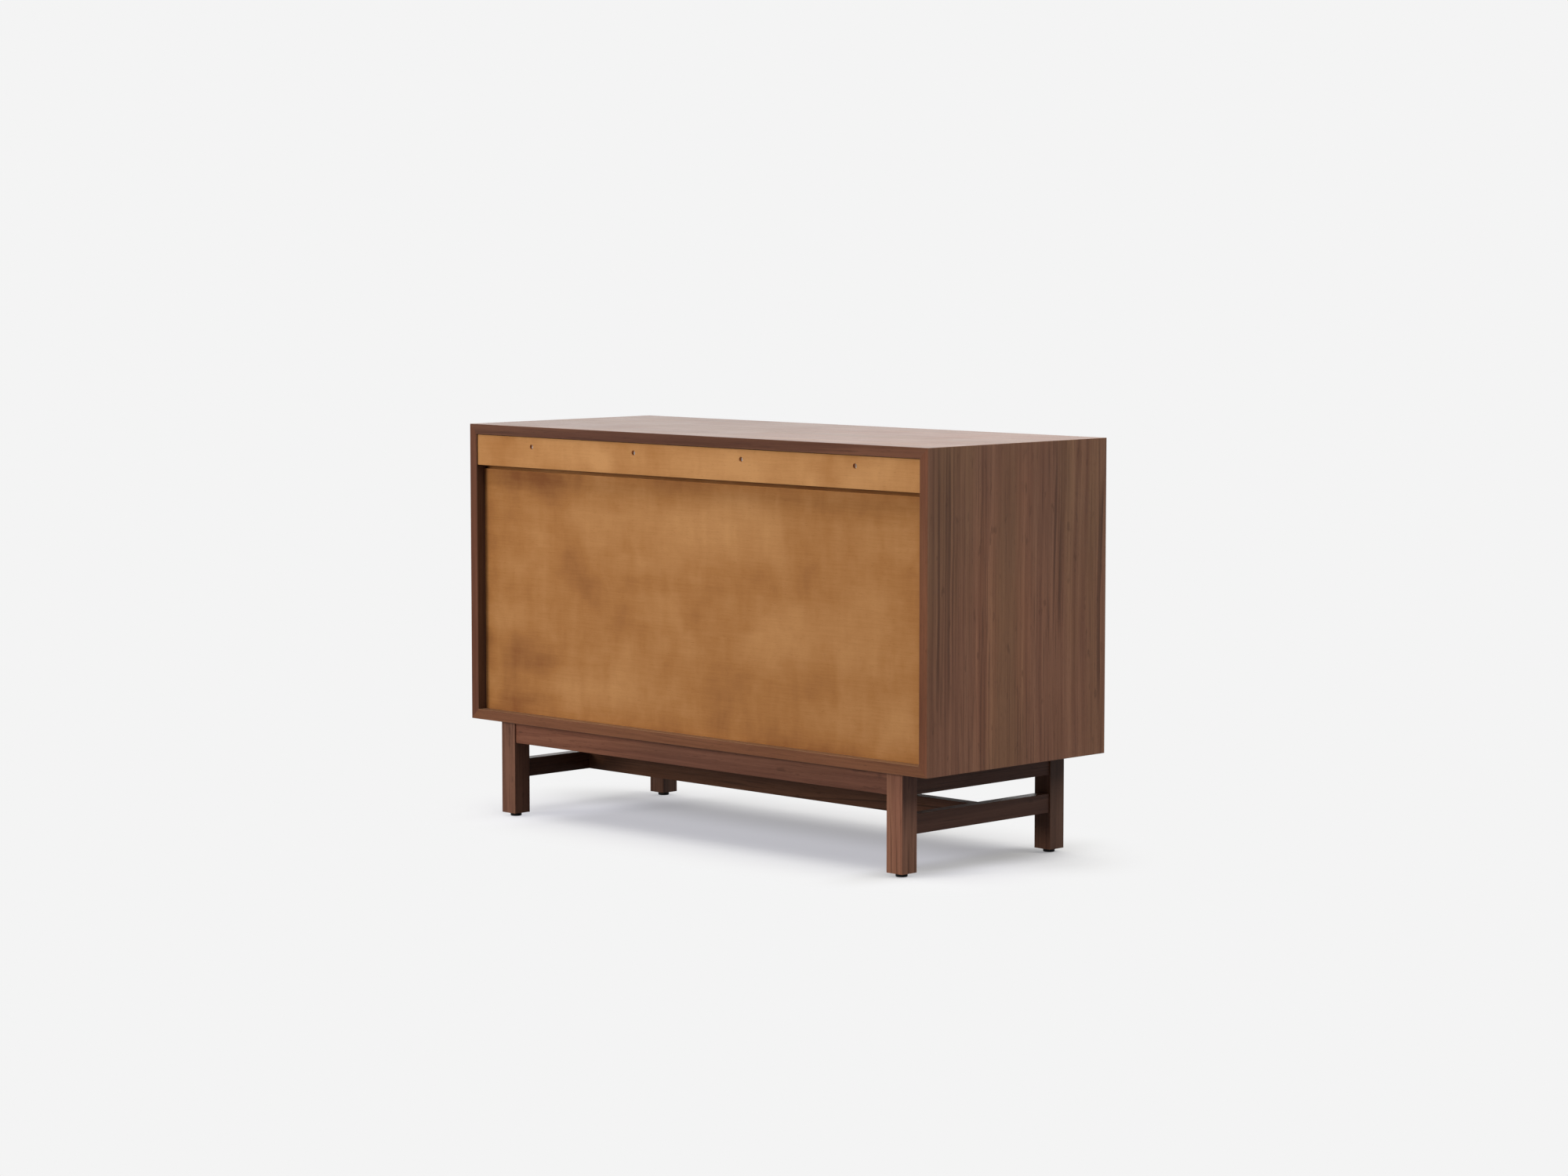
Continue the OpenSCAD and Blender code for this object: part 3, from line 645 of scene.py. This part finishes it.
def driven(node, material):
    """Screws with a cross drive cut into each head."""
    made = welded(node)
    cutter = bmesh.new()
    for group in islands(made):
        head = head_of(group)
        if head:
            add_cross(cutter, *head)
    bmesh.ops.recalc_face_normals(cutter, faces=cutter.faces)
    body, tool = bpy.data.meshes.new(node), bpy.data.meshes.new("drive")
    made.to_mesh(body)
    cutter.to_mesh(tool)
    made.free()
    cutter.free()
    pair = [bpy.data.objects.new(m.name, m) for m in (body, tool)]
    for obj in pair:
        bpy.context.scene.collection.objects.link(obj)
    cut = pair[0].modifiers.new("drive", "BOOLEAN")
    cut.operation = "DIFFERENCE"
    cut.solver = "EXACT"
    cut.object = pair[1]
    graph = bpy.context.evaluated_depsgraph_get()
    mesh = bpy.data.meshes.new_from_object(pair[0].evaluated_get(graph))
    for obj in pair:
        bpy.data.objects.remove(obj)
    mesh.name = f"{node}_driven"
    mesh.polygons.foreach_set("use_smooth", [True] * len(mesh.polygons))
    mesh.set_sharp_from_angle(angle=SHARP_ANGLE)
    place_mesh(mesh, f"{node}_driven", node, material)


def rounded_line(points, rounds):
    """Chaikin corner cutting of an open line, ends kept."""
    for _ in range(rounds):
        cut = [points[0]]
        for (r0, h0), (r1, h1) in zip(points, points[1:]):
            for a, b in ((0.75, 0.25), (0.25, 0.75)):
                cut.append((a * r0 + b * r1, a * h0 + b * h1))
        cut.append(points[-1])
        points = cut
    return points


# From the door outwards: share of the radius, share of the length
KNOB_LINE = [
    (0.0, 0.0), (0.66, 0.0), (0.67, 0.02), (0.67, 0.07), (0.56, 0.14), (0.42, 0.24), (0.41, 0.40),
    (0.55, 0.53), (0.90, 0.64), (1.0, 0.70), (1.0, 0.82), (0.94, 0.92), (0.74, 0.975),
    (0.60, 0.985), (0.56, 0.965), (0.0, 0.960),
]
KNOB_SIDES = 72
KNOB_ROUNDS = 2


def turned_knob(node, material):
    """A knob turned on a lathe: a soft foot and waist and a head with a shallow dish."""
    low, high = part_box(node)
    radius = (high.x - low.x) / 2
    length = high.y - low.y
    centre = Vector(((low.x + high.x) / 2, high.y, (low.z + high.z) / 2))
    made = bmesh.new()
    rings = []
    for share, height in rounded_line(KNOB_LINE, KNOB_ROUNDS):
        # The line starts and ends on the axis, where a ring is a single point
        sides = KNOB_SIDES if share else 1
        turns = [math.tau * i / sides for i in range(sides)]
        rings.append([
            made.verts.new(centre + Vector((
                radius * share * math.cos(turn), -height * length, radius * share * math.sin(turn),
            )))
            for turn in turns
        ])
    for lower, upper in zip(rings, rings[1:]):
        for i in range(KNOB_SIDES):
            j = (i + 1) % KNOB_SIDES
            around = ((lower, i), (lower, j), (upper, j), (upper, i))
            corners = [ring[k % len(ring)] for ring, k in around]
            made.faces.new(list(dict.fromkeys(corners)))
    bmesh.ops.recalc_face_normals(made, faces=made.faces)
    for face in made.faces:
        face.smooth = True
    settle(made, f"{node}_turned", node, material)


BROKEN_ANGLE = math.radians(50)


def softened(node, material, width):
    """A small CAD piece with its own mesh, its sharp edges broken by modifiers."""
    obj = NODES[node]
    obj.data.materials.clear()
    obj.data.materials.append(material)
    weld = obj.modifiers.new("weld", "WELD")
    weld.merge_threshold = SAME_PLACE
    edge = obj.modifiers.new("edge", "BEVEL")
    edge.width = width
    edge.segments = 2
    edge.limit_method = "ANGLE"
    edge.angle_limit = BROKEN_ANGLE


# ---------------------------------------------------------------- the cabinet

CASE_LOW = Vector((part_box("side_panel_left")[0].x, 0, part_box("bottom_panel")[0].z))
CASE_HIGH = Vector((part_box("side_panel_right")[1].x, 0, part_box("top_panel")[1].z))
CASE_CORNERS = [
    (CASE_HIGH.x if sx > 0 else CASE_LOW.x, CASE_HIGH.z if sz > 0 else CASE_LOW.z, sx, sz)
    for sx in (-1, 1)
    for sz in (-1, 1)
]
CASE_EDGE = 0.8 * MM
BASE_EDGE = 1.1 * MM
DOOR_EDGE = 1.0 * MM
BACK_EDGE = 0.6 * MM
SMALL_EDGE = 0.25 * MM

# Case boards: node, grain direction, seed, place of the pith, slope of the stem, factor on the
# colour that paints in the board's light and shade
CASE_BOARDS = [
    ("top_panel", "X", 3.1, (0.30, -0.20), 0.03, (0.71, 0.765, 0.825)),
    ("bottom_panel", "X", 5.7, (-0.35, 0.14), 0.02, (1.14, 1.22, 1.08)),
    ("side_panel_left", "Z", 1.3, (-0.45, -0.16), 0.02, (1.07, 1.09, 1.10)),
    ("side_panel_right", "Z", 8.9, (0.30, 0.15), 0.03, (0.80, 0.80, 0.80)),
]
# Bundles of dark veins: place and half width across the grain, place and half length along it
BUNDLES = {
    "side_panel_left": [
        (0.196, 0.030, 0.06, 0.24), (-0.215, 0.022, 0.0, 0.20), (-0.103, 0.012, 0.10, 0.16),
    ],
}
# Paler patches of boards and of the rear apron, in the same terms: paler streaks in the left side's
# wood, and painted light on the lower part of that side, at the -X end of the top and at the +X end
# of the rear apron
PALE_AND_PAINTED_LIGHT_PATCHES = {
    "side_panel_left": [
        (-0.012, 0.022, 0.03, 0.24), (0.085, 0.035, -0.04, 0.26), (0.0, 0.6, -0.26, 0.36),
    ],
    "top_panel": [(0.0, 0.60, -0.60, 0.60), (0.0, 0.60, -0.60, 0.28)],
    "apron_rear": [(0.0, 0.6, 0.45, 0.35), (0.0, 0.6, 0.45, 0.30)],
}
for node, axis, seed, pith, slope, painted_light_tint in CASE_BOARDS:
    is_top = node == "top_panel"
    wood = walnut(
        node, axis, seed, pith, slope, painted_light_tint, BUNDLES.get(node, ()), PALE_AND_PAINTED_LIGHT_PATCHES.get(node, ()),
        quiet=is_top, gloss=TOP_GLOSS if is_top else GLOSS,
    )
    eased(node, wood, CASE_EDGE, axis, CASE_CORNERS)

divider_wood = walnut("center_divider", "Z", 4.4, (0.25, 0.12), 0.03)
eased("center_divider", divider_wood, CASE_EDGE, "Z")
SHELF_PITH, SHELF_SLOPE = (0.20, 0.10), 0.03
for node, seed in (("shelf_left", 6.2), ("shelf_right", 7.5)):
    eased(node, walnut(node, "X", seed, SHELF_PITH, SHELF_SLOPE), CASE_EDGE)

# Each door is cut from its own board, with calm rings that run a little uphill
DOOR_PITH, DOOR_SLOPE = (0.04, -0.16), 0.05
for node, seed in (("door_left", 2.6), ("door_right", 9.4)):
    eased(node, walnut(node, "X", seed, DOOR_PITH, DOOR_SLOPE, quiet=True), DOOR_EDGE)

# Base: node, grain direction, seed, factor on the colour that paints in the part's light and shade
BASE_PARTS = [
    ("leg_front_left", "Z", 11.0, (0.92, 0.98, 0.96)),
    ("leg_front_right", "Z", 12.3, (0.70, 0.72, 0.76)),
    ("leg_rear_left", "Z", 13.9, (1.72, 1.70, 1.62)),
    ("leg_rear_right", "Z", 14.6, (1.28, 1.30, 1.32)),
    ("apron_front", "X", 15.2, (0.90, 0.86, 0.80)),
    ("apron_rear", "X", 16.8, (1.10, 1.03, 0.98)),
    ("apron_left", "Y", 17.1, (0.72, 0.72, 0.70)),
    ("apron_right", "Y", 18.4, (0.80, 0.76, 0.70)),
    ("stretcher_left", "Y", 19.5, (0.43, 0.43, 0.42)),
    ("stretcher_right", "Y", 20.7, (0.70, 0.66, 0.62)),
    ("stretcher_center", "X", 21.9, (0.94, 0.90, 0.84)),
]
BASE_PITH, BASE_SLOPE = (0.08, 0.10), 0.03
for node, axis, seed, painted_light_tint in BASE_PARTS:
    wood = walnut(node, axis, seed, BASE_PITH, BASE_SLOPE, painted_light_tint, pale_and_lit_patches=PALE_AND_PAINTED_LIGHT_PATCHES.get(node, ()))
    eased(node, wood, BASE_EDGE, axis)

# Dark and pale patches on the back: blotches of the stain, and painted shade in the dark ones along
# the top below the rail and at the +X end beside the side board. Shares of the width from the +X
# end and of the height for the middle, the same for the reach, and how much paler the patch is.
PANEL_PATCHES = [
    (0.12, 0.12, 0.13, 0.16, -0.105),
    (0.12, 0.85, 0.13, 0.15, -0.035),
    (0.86, 0.82, 0.14, 0.16, 0.045),
    (0.12, 0.97, 0.20, 0.11, -0.12),
    (0.84, 0.93, 0.20, 0.08, -0.04),
    (0.58, 0.84, 0.28, 0.20, 0.12),
    (0.24, 0.80, 0.14, 0.12, 0.04),
    (0.48, 0.55, 0.14, 0.15, -0.06),
    (0.36, 0.40, 0.13, 0.12, -0.05),
    (0.06, 0.20, 0.14, 0.28, -0.10),
    (0.72, 0.45, 0.24, 0.30, 0.04),
    (0.84, 0.12, 0.26, 0.18, 0.10),
]
RAIL_PATCHES = [
    (0.05, 0.5, 0.12, 1.6, -0.08),
    (0.50, 0.5, 0.70, 1.2, 0.05),
    (0.62, 0.3, 0.16, 1.0, 0.08),
    (0.94, 0.5, 0.16, 1.6, 0.13),
    (0.30, 0.3, 0.05, 0.7, 0.07),
    (0.43, 0.7, 0.05, 0.8, -0.05),
    (0.80, 0.5, 0.06, 0.8, -0.04),
]
PANEL_EDGE_SHADE = -0.06
# Factors on the birch colour: the rail a little paler, and the cleat darker as painted shade, since
# it shows only in the shaded gap under the rail
RAIL_SHADE, CLEAT_PAINTED_SHADE = 1.04, 0.62
panel_wood = birch("back_panel", "X", 31.0, patches=PANEL_PATCHES, edge_shade=PANEL_EDGE_SHADE)
eased("back_panel", panel_wood, BACK_EDGE, "X")
eased("back_rail", birch("back_rail", "X", 33.0, RAIL_SHADE, RAIL_PATCHES), BACK_EDGE)
eased("back_rail_cleat", birch("back_rail_cleat", "X", 35.0, CLEAT_PAINTED_SHADE), BACK_EDGE, "X")

for node, axis, seed in (
    ("mitre_splines", "Y", 41.0), ("divider_dowels", "Z", 42.0), ("cleat_dowels", "X", 43.0),
    ("base_tenons", "X", 44.0), ("base_cleats", "X", 45.0),
):
    softened(node, beech(node, axis, seed), SMALL_EDGE)

BRASS = metal("brass", (0.70, 0.49, 0.20), (0.42, 0.27, 0.10), 0.26, (900, 60, 900))
ZINC = metal("zinc_steel", (0.62, 0.63, 0.65), (0.40, 0.41, 0.42), 0.32, (500, 500, 500))
# The rail screws are pale and nearly matt as a painted glint: the key light, hidden from
# reflections, shows them bright in their holes
PALE_GLINT_ZINC = metal("zinc_with_painted_glint", (0.95, 0.93, 0.88), (0.80, 0.77, 0.71), 0.42, (500, 500, 500), 0.15)
FERRITE = plastic("magnet", (0.075, 0.075, 0.080), (0.12, 0.12, 0.12), 0.5, 2600.0)
NYLON = plastic("nylon", (0.76, 0.74, 0.68), (0.62, 0.60, 0.54), 0.45, 1800.0)
BLACK = plastic("black_plastic", (0.014, 0.014, 0.015), (0.040, 0.038, 0.036), 0.42, 2200.0)

for side in ("left", "right"):
    turned_knob(f"knob_{side}", BRASS)
    driven(f"knob_screw_{side}", ZINC)
    driven(f"pivot_screws_{side}", BRASS)
    driven(f"catch_strike_{side}", ZINC)
    softened(f"pivot_plates_{side}", BRASS, SMALL_EDGE / 2)
for node in ("catch_screws", "base_screws"):
    driven(node, ZINC)
driven("back_rail_screws", PALE_GLINT_ZINC)
driven("pivot_socket_screws", BRASS)

FEET = [f"{a}_{b}" for a in ("front", "rear") for b in ("left", "right")]
OTHER = {
    BRASS: ["pivot_sockets", "shelf_pins", "leveller_inserts"],
    NYLON: ["pivot_washers", "door_bumpers"],
    FERRITE: ["catch_magnets"],
    BLACK: ["catch_housings"] + [f"leveller_pad_{foot}" for foot in FEET],
    ZINC: [f"leveller_stem_{foot}" for foot in FEET],
}
for material, names in OTHER.items():
    for node in names:
        softened(node, material, SMALL_EDGE / 2)

# ---------------------------------------------------------------- studio

BACKDROP = (0.905, 0.905, 0.905)
FLOOR_RADIUS = 30.0
FLOOR_SIDES = 128
NOTHING = (0.0, 0.0, 0.0)
# The corner of the floor's darkest part, and how far from it the floor starts and ends its fade
FLOOR_CORE = (0.45, 0.05, 0.0)
FADE_FROM, FADE_TO = 0.05, 0.36
# The floor's painted glow, which lifts its shadow: places from front to rear, and the factors on it
# there
GLOW_FRONT, GLOW_REAR = -0.12, 0.06
FRONT_SHARE, REAR_SHARE = 0.70, 1.11
# The same in bands across the floor: the middle of a band, its reach and its factor
SHADOW_BANDS = [(-0.49, 0.08, 0.50), (0.47, 0.09, 1.22)]
SEEN_FLOOR = (0.445, 0.438, 0.415)
PAPER_DIP = 0.994
BOUNCE_FLOOR = (0.16, 0.16, 0.17)
# Painted light that the floor gives off to the camera, lifting its shadow
LIFT = (0.362, 0.362, 0.397)

floor_shader = Shader("studio_floor")
seen = floor_shader.put("ShaderNodeLightPath", {}).outputs["Is Camera Ray"]
# The floor keeps its shadow below the cabinet and blends into the backdrop a short way round it
outward = floor_shader.unsigned(floor_shader.object_place())
outward = floor_shader.vectors("SUBTRACT", outward, FLOOR_CORE)
outward = floor_shader.vectors("MAXIMUM", outward, NOTHING)
fade = floor_shader.span(floor_shader.length(outward), FADE_FROM, FADE_TO)
# Painted shadow: the glow is weaker towards the front and below the near stretcher, so the shadow
# is deeper there, and stronger at the far end
place = floor_shader.parts(floor_shader.object_place())
lifted = floor_shader.span(place[1], GLOW_FRONT, GLOW_REAR, FRONT_SHARE, REAR_SHARE)
for across, reach, share in SHADOW_BANDS:
    aside = floor_shader.maths("ABSOLUTE", floor_shader.minus(place[0], across))
    lifted = floor_shader.times(lifted, floor_shader.span(aside, 0.0, reach, share, 1.0))
paper = floor_shader.noise(floor_shader.object_place(), 3.0, 3.0)
near = floor_shader.blend(
    floor_shader.span(paper, 0.2, 0.8), SEEN_FLOOR, tuple(PAPER_DIP * c for c in SEEN_FLOOR)
)
near = floor_shader.blend(fade, near, NOTHING)
matt = floor_shader.put(
    "ShaderNodeBsdfDiffuse", {"Color": floor_shader.blend(seen, BOUNCE_FLOOR, near)}
)
glow_colour = floor_shader.blend(fade, floor_shader.tinted(LIFT, lifted), BACKDROP)
glow = floor_shader.put("ShaderNodeEmission", {"Color": glow_colour, "Strength": seen})
join = floor_shader.put("ShaderNodeAddShader", {0: matt.outputs[0], 1: glow.outputs[0]})
floor_shader.tree.links.new(
    join.outputs[0], floor_shader.tree.nodes["Material Output"].inputs["Surface"]
)

floor_mesh = bmesh.new()
bmesh.ops.create_circle(floor_mesh, cap_ends=True, radius=FLOOR_RADIUS, segments=FLOOR_SIDES)
floor_data = bpy.data.meshes.new("floor")
floor_mesh.to_mesh(floor_data)
floor_mesh.free()
floor_data.materials.append(floor_shader.material)
floor = bpy.data.objects.new("floor", floor_data)
bpy.context.scene.collection.objects.link(floor)

# The room: a bright wall beyond the cabinet, dimmer on the camera's side. The camera itself sees
# it plain.
WALL_SIDE = (0.70, -0.70, 0.0)
WALL_FULL = 0.75
WALL, ROOM = 1.35, 0.15

world = bpy.data.worlds.new("studio")
bpy.context.scene.world = world
world.use_nodes = True
sky = world.node_tree


def sky_node(kind, inputs, **settings):
    made = sky.nodes.new(kind)
    for key, value in settings.items():
        setattr(made, key, value)
    for key, value in inputs.items():
        if isinstance(value, bpy.types.NodeSocket):
            sky.links.new(value, made.inputs[key])
        else:
            made.inputs[key].default_value = value
    return made


heading = sky_node("ShaderNodeTexCoord", {}).outputs["Generated"]
facing = sky_node("ShaderNodeVectorMath", {0: heading, 1: WALL_SIDE}, operation="DOT_PRODUCT")
wall = sky_node("ShaderNodeMapRange", {
    "Value": facing.outputs["Value"], "From Min": 0.0, "From Max": WALL_FULL,
    "To Min": ROOM, "To Max": WALL,
}, interpolation_type="SMOOTHSTEP")
straight = sky_node("ShaderNodeLightPath", {}).outputs["Is Camera Ray"]
shown = sky_node(
    "ShaderNodeMix", {0: straight, 2: wall.outputs[0], 3: BACKDROP[0]}, data_type="FLOAT"
)
sky.links.new(shown.outputs[0], sky.nodes["Background"].inputs["Strength"])
sky.nodes["Background"].inputs["Color"].default_value = (1, 1, 1, 1)


def softbox(name, place, aim, width, height, power):
    """An area light that looks at a point."""
    light = bpy.data.lights.new(name, "AREA")
    light.shape = "RECTANGLE"
    light.size, light.size_y = width, height
    light.energy = power
    obj = bpy.data.objects.new(name, light)
    bpy.context.scene.collection.objects.link(obj)
    obj.location = place
    obj.rotation_euler = (Vector(aim) - Vector(place)).to_track_quat("-Z", "Y").to_euler()
    return obj


softbox("overhead", (0.0, 0.2, 3.4), (0, 0, 0.2), 3.0, 3.0, 110.0)
softbox("side", (-5.0, -2.4, 5.0), (-0.5, 0, 0.45), 3.4, 3.4, 270.0)
key = softbox("key", (2.3, 5.0, 1.6), (0, 0.2, 0.45), 2.0, 1.8, 150.0)
key.visible_glossy = False  # it would glare on the top in views from the front

# ---------------------------------------------------------------- camera

CAMERA_PLACE = Vector((-5.1342, 5.1505, 1.1274))
CAMERA_AIM = Vector((0.021, -0.039, 0.457))
LENS = 89.76
SENSOR = 36.0
CLIP_END = 200.0

camera_data = bpy.data.cameras.new("camera")
camera_data.lens = LENS
camera_data.sensor_width = SENSOR
camera_data.clip_end = CLIP_END
camera = bpy.data.objects.new("camera", camera_data)
bpy.context.scene.collection.objects.link(camera)
camera.location = CAMERA_PLACE
camera.rotation_euler = (CAMERA_AIM - CAMERA_PLACE).to_track_quat("-Z", "Y").to_euler()
bpy.context.scene.camera = camera

bpy.context.scene.view_settings.view_transform = "Standard"
bpy.context.scene.view_settings.look = "None"
